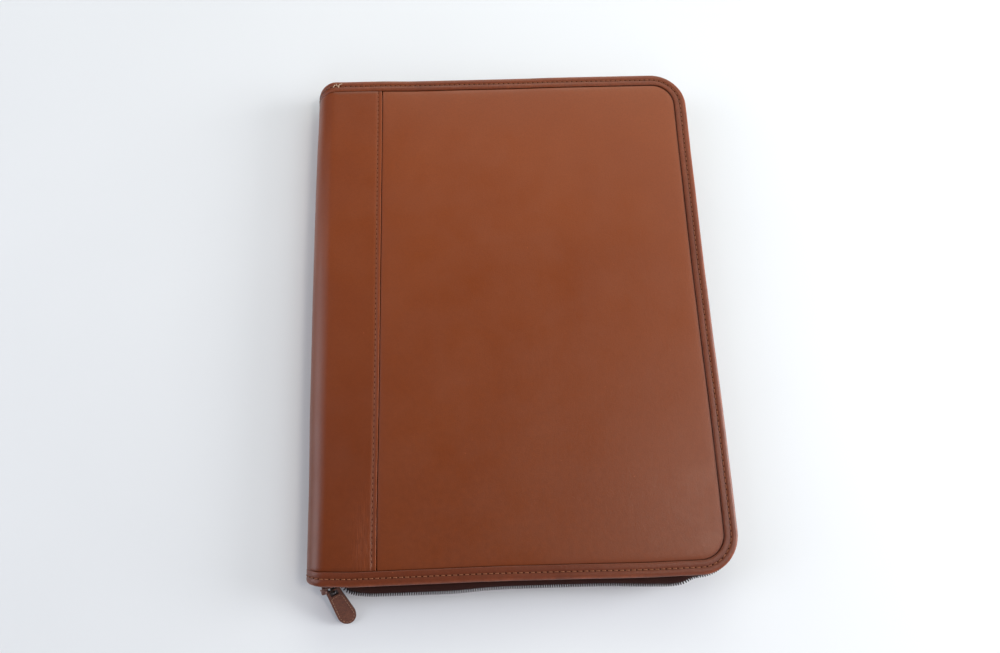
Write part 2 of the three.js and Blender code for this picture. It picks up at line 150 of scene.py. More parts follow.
# Pull
pull_length = 0.0254
pull_tip_width = 0.0112
pull_tip_length = 0.0066
pull_thickness = 0.0016
pull_bar = 0.001
pull_arm = 0.00175
pull_eye_side = 0.00175
pull_eye_length = 0.0031
pull_leg_play = 0.00006
pull_stitch_inset = 0.0013
pull_stitch_step = 0.0019
pull_full_half = 0.0052
pull_full_start = 0.0058
pull_full_end = 0.0248
pull_fullness = 0.0003
glue_line = 0.00003
pull_swing = math.radians(26)

# Worked out from the sizes above
half_height = case_height / 2
half_width = case_width / 2
roll_radius = case_thickness / 2
roll_x = roll_radius - half_width
seam_x = wrap_reach - half_width
middle_z = case_thickness / 2
edge_inset = binding_thickness + clearance
binding_line = binding_width + clearance
tuck_depth = binding_thickness + clearance
core_depth = max(panel_thickness, tuck_depth + wrap_thickness) + clearance
edge_stack = core_depth + binding_thickness
corner_x = half_width - corner_radius
corner_y = half_height - corner_radius
foot_run = corner_x - roll_x
fore_run = 2 * corner_y
quarter_turn = corner_radius * math.pi / 2
slider_width = chain_width + 2 * slider_cheek
slider_mouth_width = chain_width + 2 * (clearance + 0.0008)
slider_x = slider_from_spine - half_width
slider_lean = math.atan2(slider_nose_out - slider_mouth_out, slider_length)
slider_half_run = slider_length / 2 * math.cos(slider_lean)
channel_half = chain_half_depth + clearance
slider_face = channel_half + slider_plate
mouth_x = slider_x + slider_half_run
mouth_slope = (slider_nose_out - slider_mouth_out) / (2 * slider_half_run)
up = Vector((0, 0, 1))

# How far the zip stands out along its three sides: how far along the side's straight length, and a
# share of zip_bulge at the teeth's outer face.
bottom_rows = [
    (0.028, 0.5),
    (0.06, 0.82),
    (0.115, 0.94),
    (0.308, 1.0),
    (0.448, 0.72),
    (0.585, 0.66),
    (0.73, 0.65),
    (0.865, 0.84),
    (0.923, 0.92),
    (0.953, 0.76),
    (0.981, 0.24),
    (1.0, 0.05),
]
fore_rows = [(0.0, 0.05), (0.08, 0.1), (0.5, 0.36), (0.92, 0.1), (1.0, 0.05)]
top_rows = [(0.0, 0.05), (0.1, 0.12), (0.5, 0.36), (0.9, 0.12), (1.0, 0.05)]

# How far the soft case lies out of true: for places up its height, the sideways shift of the
# spine, of the front seam and of the fore-edge.
lie_rows = [
    (-0.17, 0.0012, -0.0018, -0.0004),
    (-0.12, 0.0011, -0.0016, 0.0001),
    (-0.1, 0.0008, -0.0013, 0.0002),
    (-0.07, 0.0002, -0.0009, 0.0002),
    (-0.03, -0.0001, -0.0005, -0.0001),
    (0.03, -0.0004, -0.0001, -0.0002),
    (0.09, -0.0004, 0.0003, 0.0003),
    (0.12, -0.0002, 0.0005, 0.0005),
    (0.145, 0.0002, 0.0006, 0.0008),
    (0.17, 0.0002, 0.0006, 0.0006),
]

# And for places across its width, the shift up of its bottom and of its top.
sag_rows = [
    (-0.131, 0.0022, 0.0),
    (-0.122, 0.0022, 0.0),
    (-0.113, 0.0019, 0.0),
    (-0.105, 0.0015, 0.0),
    (-0.1, 0.0013, 0.0),
    (-0.085, 0.0013, -0.0001),
    (-0.062, 0.0013, -0.0006),
    (-0.03, 0.0013, -0.0005),
    (0.01, 0.0008, -0.0004),
    (0.04, 0.0003, 0.0),
    (0.08, -0.0004, 0.0),
    (0.131, -0.0002, 0.0),
]

# The binding's outer face across its width: how far out from the case's edge, and how deep.
binding_rows = [
    (-0.0085, 0.00022),
    (-0.0083, 0.00002),
    (-0.0075, -0.00008),
    (-0.0063, -0.00008),
    (-0.0054, 0.0),
    (-0.0049, 0.00014),
    (-0.0045, 0.00024),
    (-0.0041, 0.00014),
    (-0.0036, -0.00002),
    (-0.0027, -0.00006),
]


def select_only(piece):
    """Leaves one piece selected and active, in object mode."""
    bpy.ops.object.select_all(action="DESELECT")
    piece.select_set(True)
    bpy.context.view_layer.objects.active = piece


def edit(piece):
    """Opens a piece in edit mode with nothing in it selected."""
    select_only(piece)
    bpy.ops.object.mode_set(mode="EDIT")
    bpy.ops.mesh.select_all(action="DESELECT")


def leave_edit():
    bpy.ops.object.mode_set(mode="OBJECT")


def select_whole():
    bpy.ops.mesh.select_all(action="SELECT")


def fix_place():
    """Fixes the active piece's place, turn and scale in its mesh."""
    bpy.ops.object.transform_apply(location=True, rotation=True, scale=True)


def named(piece, name):
    piece.name = name
    piece.data.name = name
    return piece


def added(name, add, **settings):
    """Adds a primitive by its operator and names it."""
    bpy.ops.object.select_all(action="DESELECT")
    add(**settings)
    return named(bpy.context.active_object, name)


def select_points(piece, wanted):
    """In edit mode, selects the points whose place is wanted, and the faces between them."""
    mesh = bmesh.from_edit_mesh(piece.data)
    bpy.ops.mesh.select_all(action="DESELECT")
    for point in mesh.verts:
        point.select_set(wanted(point.co))
    mesh.select_flush(True)
    bmesh.update_edit_mesh(piece.data)


def select_faces(piece, wanted):
    """In edit mode, selects the faces that are wanted by their middle and normal."""
    mesh = bmesh.from_edit_mesh(piece.data)
    bpy.ops.mesh.select_all(action="DESELECT")
    for face in mesh.faces:
        if wanted(face.calc_center_bounds(), face.normal):
            face.select_set(True)
    bmesh.update_edit_mesh(piece.data)


def shift(vector):
    bpy.ops.transform.translate(value=vector)


def push(vector):
    """Extrudes what is selected."""
    bpy.ops.mesh.extrude_region_move(TRANSFORM_OT_translate={"value": vector})


def draw_line(name, points):
    """Draws a line of edges through the points, and stays in edit mode with all of it selected."""
    line = added(name, bpy.ops.mesh.primitive_plane_add, size=0.001, location=points[0])
    fix_place()
    bpy.ops.object.mode_set(mode="EDIT")
    select_whole()
    bpy.ops.mesh.merge(type="CENTER")
    for here, there in zip(points, points[1:]):
        move = Vector(there) - Vector(here)
        bpy.ops.mesh.extrude_vertices_move(TRANSFORM_OT_translate={"value": move})
    select_whole()
    return line


def block(low, high):
    """Adds a plain block between two corners, for a piece to be shaped from."""
    low, high = Vector(low), Vector(high)
    piece = added("block", bpy.ops.mesh.primitive_cube_add, size=1, location=(low + high) / 2)
    piece.scale = high - low
    fix_place()
    return piece


def cut_across(places, axis):
    """In edit mode, cuts the whole mesh across an axis at each place."""
    for place in places:
        select_whole()
        bpy.ops.mesh.bisect(plane_co=place * Vector(axis), plane_no=axis)


def run_straight(move, steps):
    """Sweeps the selected line along a straight stretch."""
    bpy.ops.mesh.extrude_repeat(steps=steps, offset=Vector(move) / steps)


def run_round(centre, axis, angle, steps):
    """Sweeps the selected line round an axis, counter-clockwise seen from the axis's tip."""
    bpy.ops.mesh.spin(steps=steps, angle=-angle, center=centre, axis=axis)


def run_edge(steps, trim=0.0, turn=1):
    """Sweeps the selected line round three sides of the case, from the foot of the spine up to its
    head, or with turn -1 from the head down to the foot. Steps are those of the first side, of each
    corner, of the fore-edge and of the last side."""
    first, corner, fore, last = steps
    run_straight((foot_run - trim, 0, 0), first)
    run_round((corner_x, -turn * corner_y, 0), (0, 0, 1), turn * math.pi / 2, corner)
    run_straight((0, turn * fore_run, 0), fore)
    run_round((corner_x, turn * corner_y, 0), (0, 0, 1), turn * math.pi / 2, corner)
    run_straight((trim - foot_run, 0, 0), last)


def close_up(piece, gap=hair):
    """Merges the points that meet, and turns the faces outwards."""
    edit(piece)
    select_whole()
    bpy.ops.mesh.remove_doubles(threshold=gap)
    bpy.ops.mesh.normals_make_consistent(inside=False)
    leave_edit()


def reshape(piece, rule):
    """Moves each point of a piece to the place that the rule gives it."""
    for point in piece.data.vertices:
        point.co = rule(point.co.copy())
    piece.data.update()


def finish_with(piece, kind, **settings):
    """Adds a modifier with these settings and applies it."""
    select_only(piece)
    modifier = piece.modifiers.new(kind.lower(), kind)
    for name, value in settings.items():
        setattr(modifier, name, value)
    bpy.ops.object.modifier_apply(modifier=modifier.name)


def thicken(piece, thickness):
    finish_with(piece, "SOLIDIFY", thickness=thickness, offset=-1, use_even_offset=True)


def round_edges(piece, width, segments=2, angle=40):
    """Rounds the edges that are sharper than the angle."""
    finish_with(
        piece,
        "BEVEL",
        width=width,
        segments=segments,
        limit_method="ANGLE",
        angle_limit=math.radians(angle),
        harden_normals=False,
    )


def smooth(piece, angle=40):
    select_only(piece)
    bpy.ops.object.shade_smooth_by_angle(angle=math.radians(angle))


def join(name, pieces):
    """Joins the pieces into one."""
    bpy.ops.object.select_all(action="DESELECT")
    for piece in pieces:
        piece.select_set(True)
    bpy.context.view_layer.objects.active = pieces[0]
    bpy.ops.object.join()
    return named(bpy.context.active_object, name)


def set_down(piece, matrix):
    """Puts a piece that was made at the origin in its place, and fixes the place in its mesh."""
    piece.data.transform(matrix)
    piece.data.update()


def repeat_at(name, piece, places):
    """Makes a copy of a small piece at each place, with its own mesh, and joins them all."""
    copies = []
    for place in places:
        copy = piece.copy()
        copy.data = piece.data.copy()
        copy.data.transform(place)
        bpy.context.scene.collection.objects.link(copy)
        copies.append(copy)
    bpy.data.objects.remove(piece)
    return join(name, copies)


def mark(piece, name, rule):
    """Keeps a number at each point of the piece, for its material to read."""
    attribute = piece.data.attributes.new(name, "FLOAT", "POINT")
    attribute.data.foreach_set("value", [rule(point.co) for point in piece.data.vertices])


def dress(piece, finish, slot_name, *nodes):
    """Gives a finished piece its material and the CAD nodes it stands for. Its slot name is not used.
    """
    piece.data.materials.clear()
    piece.data.materials.append(finish)
    if nodes:
        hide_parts(*nodes)
    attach(piece, "root")


def smooth_table(rows, at):
    """Reads a table of (place, value) rows along a smooth curve through them."""
    if at <= rows[0][0]:
        return rows[0][1]
    if at >= rows[-1][0]:
        return rows[-1][1]
    i = max(n for n in range(len(rows) - 1) if rows[n][0] <= at)

    def rise(n):
        if n < 0 or n > len(rows) - 2:
            return 0.0
        return (rows[n + 1][1] - rows[n][1]) / (rows[n + 1][0] - rows[n][0])

    def slope(n):
        before, after = rise(n - 1), rise(n)
        return 0.0 if before * after <= 0 else 2 * before * after / (before + after)

    (x0, y0), (x1, y1) = rows[i], rows[i + 1]
    run = x1 - x0
    t = (at - x0) / run
    return (
        (2 * t**3 - 3 * t**2 + 1) * y0
        + (t**3 - 2 * t**2 + t) * run * slope(i)
        + (3 * t**2 - 2 * t**3) * y1
        + (t**3 - t**2) * run * slope(i + 1)
    )


def edge_point(travel, inset=0.0):
    """A place on the case's edge line and the direction out of the case there. The line runs from
    the foot of the spine along the bottom, up the fore-edge and back along the top."""
    radius = corner_radius - inset
    turn = radius * math.pi / 2
    if travel < foot_run:
        return Vector((roll_x + travel, inset - half_height, 0)), Vector((0, -1, 0))
    travel -= foot_run
    if travel < turn:
        out = heading(travel / radius - math.pi / 2)
        return Vector((corner_x, -corner_y, 0)) + out * radius, out
    travel -= turn
    if travel < fore_run:
        return Vector((corner_x + radius, travel - corner_y, 0)), Vector((1, 0, 0))
    travel -= fore_run
    if travel < turn:
        out = heading(travel / radius)
        return Vector((corner_x, corner_y, 0)) + out * radius, out
    travel -= turn
    return Vector((corner_x - travel, half_height - inset, 0)), Vector((0, 1, 0))


def edge_length(inset=0.0):
    return 2 * foot_run + fore_run + math.pi * (corner_radius - inset)


def edge_place(point):
    """The travel along the edge line beside a point, the direction out there, and how far out of
    the line the point is."""
    if point.x > corner_x and abs(point.y) > corner_y:
        centre = Vector((corner_x, math.copysign(corner_y, point.y), 0))
        arm = Vector((point.x, point.y, 0)) - centre
        out = arm.normalized()
        angle = math.atan2(out.y, out.x)
        if point.y < 0:
            travel = foot_run + corner_radius * (angle + math.pi / 2)
        else:
            travel = foot_run + quarter_turn + fore_run + corner_radius * angle
        return travel, out, arm.length - corner_radius
    if point.y < -corner_y:
        return point.x - roll_x, Vector((0, -1, 0)), -half_height - point.y
    if point.y > corner_y:
        return edge_length() - (point.x - roll_x), Vector((0, 1, 0)), point.y - half_height
    return foot_run + quarter_turn + point.y + corner_y, Vector((1, 0, 0)), point.x - half_width


def spine_dip(point):
    """How far the case's ends draw in at a point round the spine."""
    if point.x >= roll_x:
        return 0.0
    across = point.x - roll_x
    rise = point.z - middle_z
    dip = top_end_dip if point.y > 0 else spine_end_dip
    return dip * across**2 / (across**2 + rise**2)


def column(rows, number):
    """The first number of each row of a table with one of its others."""
    return [(row[0], row[number]) for row in rows]


def settled(at):
    """The place that a point of the leather takes as the soft case lies, a little out of true."""
    spine, seam, fore = (smooth_table(column(lie_rows, number), at.y) for number in (1, 2, 3))
    if at.x < seam_x:
        share = clamped((at.x + half_width) / (seam_x + half_width))
        across = spine + (seam - spine) * share
    else:
        share = clamped((at.x - seam_x) / (half_width - seam_x))
        across = seam + (fore - seam) * share
    bottom, top = (smooth_table(column(sag_rows, number), at.x) for number in (1, 2))
    share = clamped(at.y / case_height + 0.5)
    return at + Vector((across, bottom + (top - bottom) * share, 0))


def turned_over(at):
    """Where a point goes when a piece made as the front one is turned over for the back."""
    return Vector((at.x, at.y, case_thickness - at.z))


def heading(angle):
    """The direction at an angle from +x, seen from above."""
    return Vector((math.cos(angle), math.sin(angle), 0))


def clamped(share):
    return min(max(share, 0), 1)


def near(value, middle, width):
    """1 at the middle, fading to nothing a few widths away."""
    return math.exp(-(((value - middle) / width) ** 2))


def ripple(point, size, height, seed=0):
    """A soft irregular rise of up to a height, over a size."""
    return height * noise.noise(point / size + Vector((seed, 0, 0)))


# The zip's rows by their travel along the edge line: where each side starts, and its length
zip_sides = (
    (bottom_rows, mouth_x - roll_x, corner_x - mouth_x),
    (fore_rows, foot_run + quarter_turn, fore_run),
    (top_rows, foot_run + 2 * quarter_turn + fore_run, foot_run),
)
zip_travel_rows = [(mouth_x - roll_x, slider_mouth_out)] + [
    (start + along * length, out * zip_bulge - chain_half_depth)
    for rows, start, length in zip_sides
    for along, out in rows
]


def zip_reach(travel):
    """How far the middle of the teeth lies outside the leather's edge."""
    x = roll_x + travel
    if x < mouth_x:
        return slider_mouth_out + mouth_slope * (mouth_x - x)
    return smooth_table(zip_travel_rows, travel)


def zip_tilt(travel):
    """How much the upper half of the zip leans out over the lower half."""
    return zip_lean * clamped((travel - (mouth_x - roll_x)) / 0.02)


# Covers

def inward_of(point, inset):
    """How far a point lies inside the outline that is inset from the cover's edge."""
    radius = corner_radius - inset
    from_seam = point.x - seam_x
    if point.x > corner_x and abs(point.y) > corner_y:
        arm = math.hypot(point.x - corner_x, abs(point.y) - corner_y)
        return min(from_seam, radius - arm)
    return min(from_seam, half_width - inset - point.x, half_height - inset - abs(point.y))


def crown(inward):
    """The share of the padding's height that is reached so far inward."""
    edge_roll = 1 - math.exp(-inward / edge_roll_width)
    rise = 1 - math.exp(-inward / crown_width)
    return 0.45 * edge_roll + 0.55 * rise


def cover_tongue(bottom_z):
    """The part of the cover's board that runs under the spine wrap."""
    half = half_height - binding_line - tongue_gap
    top_z = case_thickness - wrap_thickness - clearance
    tongue = block((seam_x - seam_overlap, -half, bottom_z), (seam_x + seam_overlap, half, top_z))
    round_edges(tongue, soft_edge, 2)
    return tongue


def cover_plate(name, is_front):
    """A stiff cover: a plate with a thinned edge for the binding, a raised leather face and a
    tongue that runs under the spine wrap. It is made face up, and turned over for the back."""
    start_x = seam_x + clearance
    end_x = half_width - edge_inset
    end_y = half_height - edge_inset
    drop = panel_drop if is_front else 0.0
    bottom_z = case_thickness - panel_thickness
    rim_z = case_thickness - tuck_depth
    middle = ((start_x + end_x) / 2, 0, bottom_z)
    plate = added(name, bpy.ops.mesh.primitive_plane_add, size=1, location=middle)
    plate.scale = (end_x - start_x, 2 * end_y, 1)
    fix_place()

    edit(plate)
    select_points(plate, lambda at: at.x > 0)
    radius = corner_radius - edge_inset
    bpy.ops.mesh.bevel(offset=radius, segments=12, profile=0.5, affect="VERTICES")
    select_whole()
    push((0, 0, rim_z - bottom_z))
    inset = binding_line - edge_inset - (groove_play if is_front else 0)
    bpy.ops.mesh.inset(thickness=inset)
    select_points(plate, lambda at: abs(at.x - start_x - inset) < hair and at.z > rim_z - hair)
    shift((clearance - inset, 0, 0))
    select_faces(plate, lambda at, normal: normal.z > 0.9 and 0 < at.x < 0.1 and abs(at.y) < 0.1)
    push((0, 0, case_thickness - drop - rim_z))
    for width in face_insets:
        bpy.ops.mesh.inset(thickness=width)
    left = start_x + face_cut_left
    column_step = (end_x - face_cut_right - left) / face_columns
    row_step = 2 * face_cut_high / face_rows
    cut_across([left + step * column_step for step in range(1, face_columns)], (1, 0, 0))
    cut_across([step * row_step - face_cut_high for step in range(1, face_rows)], (0, 1, 0))
    leave_edit()

    def padded_face(at):
        inward = inward_of(at, binding_line)
        on_face = at.z > case_thickness - drop - hair
        if on_face and is_front:
            quiet = min(inward / 0.03, 1)
            at.z += crown_height * crown(inward) + quiet * ripple(at, 0.06, face_swell)
        elif on_face:
            at.z -= back_roll_depth * math.exp(-inward / back_roll_width)
        return at

    reshape(plate, padded_face)

    tongue = cover_tongue(bottom_z)
    round_edges(plate, rim_round, 2, 50)
    plate = join(name, [plate, tongue])
    if not is_front:
        reshape(plate, turned_over)
        edit(plate)
        select_whole()
        bpy.ops.mesh.flip_normals()
        leave_edit()
    smooth(plate, 35)
    return plate


def groove_shade(at):
    """Painted shade: the cover is darker in the groove beside the binding, most of all along the
    fore-edge.
    """
    depth = math.exp(-max(inward_of(at, binding_line), 0) / groove_line)
    return depth * (0.3 + 0.7 * clamped(at.x / 0.1))


# Spine

def spine_sheet():
    """One sheet of leather rolled round the spine and laid on both covers, with its ends pressed
    in under the binding and a shallow channel where each seam is sewn."""
    end_y = half_height - edge_inset
    step_y = half_height - binding_line
    straight = step_y - 0.0025
    ys = [-end_y, -step_y - 0.002]
    ys += [-step_y - 0.0008 + 0.0003 * n for n in range(4)]
    ys += [-straight + 2 * straight * n / spine_rows for n in range(spine_rows + 1)]
    ys += [step_y - 0.0001 + 0.0003 * n for n in range(4)]
    ys += [step_y + 0.002, end_y]
    sheet = draw_line("spine_leather", [(seam_x, y, case_thickness) for y in ys])
    for step in seam_channel_steps:
        push((-step, 0, 0))
    rest = wrap_reach - roll_radius - sum(seam_channel_steps)
    run_straight((-rest, 0, 0), 12)
    run_round((roll_x, 0, middle_z), (0, 1, 0), -math.pi, 26)
    run_straight((rest, 0, 0), 12)
    for step in reversed(seam_channel_steps):
        push((step, 0, 0))
    leave_edit()
    close_up(sheet)

    def pressed(at):
        inset = half_height - abs(at.y)
        share = clamped((binding_line + 0.0001 - inset) / press_width)
        share = share * share * (3 - 2 * share)
        sink = tuck_depth * share
        from_seam = seam_x - at.x
        if at.x > roll_x:
            channel = near(from_seam, seam_stitch_inset, seam_channel_width)
            sink += seam_channel_depth * channel * (1 - share)
        outward = Vector((min(at.x - roll_x, 0), 0, at.z - middle_z)).normalized()
        sink -= ripple(at, 0.045, spine_swell, 3) * (1 - share) * clamped(from_seam / 0.02)
        dip = math.copysign(spine_dip(at), at.y)
        return at - outward * sink - Vector((0, dip * min(abs(at.y) / half_height, 1) ** 3, 0))

    reshape(sheet, pressed)
    thicken(sheet, wrap_thickness)
    round_edges(sheet, soft_edge, 2, 50)
    smooth(sheet, 45)
    return sheet


def gape_shade(at):
    """Painted shadow of a gap between the binding's end and the spine at the top left: the slit is
    painted black.
    """
    return near(at.x, -half_width, 0.0026) * near(at.y, 0.162, 0.006) * (1 if at.z > 0.012 else 0)


def spine_shade(at):
    """Painted shade: the spine is darker under the binding's edge, and black in the slit at the top
    left.
    """
    from_line = half_height - abs(at.y) - binding_line
    return max(0.45 * near(from_line, 0.0, 0.0005), gape_shade(at))


# Binding

def binding_section():
    """The binding's outer face from its edge on the cover to its edge beside the zip."""
    bends = [heading(math.pi / 2 * step / 3) * binding_round for step in range(4)]
    upper = [(bend.y - binding_round, binding_round - bend.x) for bend in bends]
    lower = [(bend.x - binding_round, edge_stack - binding_round + bend.y) for bend in bends]
    inner = [(-stitch_inset, edge_stack), (-binding_inner_width, edge_stack)]
    return [*binding_rows, *upper, *lower, *inner]


def binding_strip():
    """One strip of leather folded round the whole edge, over both covers and both spine ends."""
    section = [
        (roll_x, -half_height - out, case_thickness - depth) for out, depth in binding_section()
    ]
    strip = draw_line("binding_strip", section)
    for turn in (1, -1):
        run_edge((64, 14, 84, 64), turn=turn)
        run_round((roll_x, 0, middle_z), (0, 1, 0), -turn * math.pi, 22)
    leave_edit()
    close_up(strip)

    def worn(at):
        dip = math.copysign(spine_dip(at), at.y)
        if at.x < roll_x:
            return at - Vector((0, dip, 0))
        out = edge_place(at)[1]
        draw_in = min(ripple(at, 0.03, binding_sway, 7), 0.0)
        lift = ripple(at, 0.012, binding_puff, 11) if at.z > front_face_from else 0.0
        return at + out * draw_in + Vector((0, 0, lift))

    reshape(strip, worn)
    thicken(strip, binding_thickness)
    round_edges(strip, binding_cut_round, 2, 55)
    smooth(strip, 50)
    return strip


def binding_out(at):
    """How far out of the case's edge a point on the binding lies."""
    if at.x < roll_x:
        return abs(at.y) - (half_height - spine_dip(at))
    return edge_place(at)[2]


def fold_rub_and_highlight(at):
    """The binding is lighter along the outside of its fold: wear, and a painted highlight where the
    fold catches the light.
    """
    return 0.55 * near(binding_out(at), -0.0003, 0.0012) * (0.7 + ripple(at, 0.008, 0.6, 5))


def row_shade(at):
    """Painted shade: the binding is darker in the channel that its stitches are pulled into, and black
    in the slit at the top left.
    """
    return max(0.3 * near(binding_out(at), -stitch_inset, 0.0004), gape_shade(at))


# Zip

def tape_strip(name, is_front):
    """One side of the zip's woven tape: flat under the binding, then turned down behind the
    teeth. It is made as the front one, and turned over for the back."""
    seat_z = case_thickness - edge_stack - clearance - tape_thickness / 2
    turn_end_z = middle_z + chain_width / 2 + clearance
    rows = [(-tape_turn - tape_seat, seat_z)]
    for step in range(7):
        bend = heading(math.pi / 2 * step / 6)
        rows.append((tape_turn * (bend.y - 1), turn_end_z + (seat_z - turn_end_z) * bend.x))
    rows += [(-0.0001, turn_end_z - 0.0009), (-0.0002, turn_end_z - 0.0018)]
    rows.append((-0.0002, middle_z + 0.0002))
    start_x = roll_x + clearance
    strip = draw_line(name, [(start_x, -half_height - out, z) for out, z in rows])
    run_edge((112, 12, 60, 44), trim=clearance)
    leave_edit()
    close_up(strip)
    mark(strip, "along", lambda at: edge_place(at)[0])
    mark(strip, "across", lambda at: edge_place(at)[2] - (at.z - seat_z))
    side = 1 if is_front else -1

    def bulged(at):
        travel, out, from_edge = edge_place(at)
        reach = zip_reach(travel) - tape_set_back + side * zip_tilt(travel) * (at.z - middle_z)
        reach = max(reach, 0.0008 - tape_turn)
        if from_edge > -tape_turn:
            turned = (from_edge + tape_turn) * (reach + tape_turn) / tape_turn - tape_turn
            at += out * (turned - from_edge)
        return at

    reshape(strip, bulged)
    if not is_front:
        reshape(strip, turned_over)
        close_up(strip)
    finish_with(strip, "SOLIDIFY", thickness=tape_thickness, offset=0)
    smooth(strip, 60)
    return strip


def zip_frame(travel):
    """The middle of the teeth at a place along the zip: its point, the way along and the way out."""
    def middle(at):
        point, out = edge_point(at)
        return point + out * zip_reach(at)

    step = 0.0004
    along = (middle(travel + step) - middle(travel - step)).normalized()
    out = Vector((along.y, -along.x, 0))
    point = middle(travel)
    point.z = middle_z
    return point, along, out


def zip_teeth():
    """All the teeth: one rounded tooth, copied along both tapes half a pitch apart."""
    half_size = Vector((tooth_width, tooth_reach, tooth_height)) / 2
    tooth = block(-half_size, half_size)
    edit(tooth)
    select_faces(tooth, lambda at, normal: normal.z < -0.9)
    bpy.ops.mesh.inset(thickness=0.00018)
    leave_edit()
    round_edges(tooth, tooth_round, 1)
    smooth(tooth, 60)
    first = -(slider_half_run - 0.0032 - clearance) + slider_x - roll_x
    last = edge_length() - 0.004
    places = []
    count = int((last - first) / tooth_pitch)
    for number in range(count * 2):
        is_front = number % 2 == 0
        travel = first + number * tooth_pitch / 2
        point, along, out = zip_frame(travel)
        tooth_up = (up + out * zip_tilt(travel)).normalized()
        inward = tooth_up.cross(along).normalized()
        side = 1 if is_front else -1
        set_back = tooth_set_back + (0 if is_front else lower_teeth_set_back)
        turn = Matrix((side * along, inward, side * tooth_up)).transposed()
        where = point + side * tooth_up * tooth_rise - out * set_back
        places.append(Matrix.Translation(where) @ turn.to_4x4())
    return repeat_at("zip_teeth", tooth, places)


def slider_part(name, outline, from_y, to_y, rounding):
    """A plate of the slider, drawn as an outline of (x, z) points and extruded along y."""
    plate = draw_line(name, [(x, from_y, z) for x, z in outline])
    bpy.ops.mesh.edge_face_add()
    push((0, to_y - from_y, 0))
    leave_edit()
    close_up(plate)
    round_edges(plate, rounding, 3, 30)
    return plate


def slider_block(low, high, rounding):
    """One of the slider's plain parts between its plates."""
    part = block(low, high)
    round_edges(part, rounding, 2)
    return part


def bail_loop(bail_clear):
    """The bail: an arch of flat wire over the slider's outer plate."""
    half_span = bail_span / 2 + bail_wire / 2
    top = -slider_face - bail_clear - bail_wire / 2
    arch = [(-half_span, -slider_face + 0.0003), (-half_span, top + bail_bend)]
    for step in range(1, 5):
        bend = heading(math.pi / 2 * step / 5) * bail_bend
        arch.append((bail_bend - half_span - bend.x, top + bail_bend - bend.y))
    arch.append((bail_bend - half_span, top))
    arch += [(-z, y) for z, y in reversed(arch)]
    bail = draw_line("bail", [(bail_from_centre - bail_depth / 2, y, z) for z, y in arch])
    push((bail_depth, 0, 0))
    leave_edit()
    close_up(bail)
    finish_with(bail, "SOLIDIFY", thickness=bail_wire, offset=0, use_even_offset=True)
    round_edges(bail, soft_edge, 3, 50)
    return bail


def zip_slider(bail_clear):
    """The slider, made with x from its nose to its mouth and -y outwards: two rounded plates, the
    bridge between them, the flanges that hold the tape, a raised back and the bail."""
    half = slider_length / 2
    nose_rows = [(0, None), (0.35, 0.86), (0.6, 1), (0.86, 1), (0.94, 0.86), (0.985, 0.66), (1, 0.42)]
    upper = []
    for along, width in nose_rows:
        half_across = slider_mouth_width / 2 if width is None else width * slider_width / 2
        upper.append((half - along * slider_length, half_across))
    outline = upper + [(x, -z) for x, z in reversed(upper)]
    parts = [
        slider_part("outer_plate", outline, -slider_face, -channel_half, plate_round),
        slider_part("inner_plate", outline, channel_half, slider_face, plate_round),
    ]
    inside = channel_half + slider_plate / 2
    slit = tape_thickness / 2 + clearance
    flange_foot = slider_mouth_width / 2 - flange_width
    for side in (-1, 1):
        for face in (-1, 1):
            z = sorted((side * flange_foot, side * slider_mouth_width / 2))
            y = sorted((face * slit, face * inside))
            low, high = (half - flange_length, y[0], z[0]), (half, y[1], z[1])
            parts.append(slider_block(low, high, flange_round))
    start = -half + 0.001
    end = start + bridge_length
    parts.append(slider_block((start, -inside, -bridge_half), (end, inside, bridge_half), soft_edge))
    dome = [(x - half + 0.0002, z) for x, z in dome_rows]
    dome += [(x, -z) for x, z in reversed(dome)]
    dome_top = -slider_face - dome_rise
    parts.append(slider_part("dome", dome, dome_top, -slider_face + dome_seat, dome_round))
    parts.append(bail_loop(bail_clear))
    slider = join("slider", parts)
    smooth(slider, 40)
    return slider


def in_bail(point):
    """Whether a point of the slider in its place belongs to the bail."""
    at = slider_matrix.inverted() @ point
    return at.y < -slider_face and abs(at.x - bail_from_centre) < bail_depth / 2 + 0.0001


def pull_outline(grow=0.0):
    """The pull's outline, with its eye's bar at the origin and its length along -y."""
    top_half = (bail_depth + 2 * pull_eye_side) / 2 + pull_arm + grow
    tip_half = pull_tip_width / 2 + grow
    eye_top = -pull_bar / 2
    tip_start = pull_bar / 2 - pull_length + pull_tip_length
    points = []
    for step in range(17):
        angle = math.pi * step / 16
        rise = (pull_bar + grow) * math.sin(angle)
        points.append((top_half * math.cos(angle), eye_top + rise, 0))
    for step in range(21):
        angle = math.pi + math.pi * step / 20
        reach = (pull_tip_length + grow) * math.sin(angle)
        points.append((tip_half * math.cos(angle), tip_start + reach, 0))
    return points


def pull_layer(name, low, high, shrink, eye):
    """One of the pull's two leathers, with its opening: half its width, its top and its foot."""
    eye_half, eye_top, eye_foot = eye
    layer = draw_line(name, pull_outline(-shrink))
    bpy.ops.mesh.edge_face_add()
    cuts_x = [-0.0044, -0.0034, -eye_half, -0.0007, 0, 0.0007, eye_half, 0.0034, 0.0044]
    cuts_y = [eye_top, eye_foot] + [-pull_bar / 2 - pull_eye_length - 0.0009 * n for n in range(1, 21)]
    cut_across(cuts_x, (1, 0, 0))
    cut_across(cuts_y, (0, 1, 0))
    select_faces(layer, lambda at, normal: abs(at.x) < eye_half and eye_foot < at.y < eye_top)
    bpy.ops.mesh.delete(type="FACE")
    select_whole()
    push((0, 0, high - low))
    leave_edit()
    reshape(layer, lambda at: at + Vector((0, 0, low)))
    close_up(layer)
    round_edges(layer, soft_edge, 3, 50)
    return layer


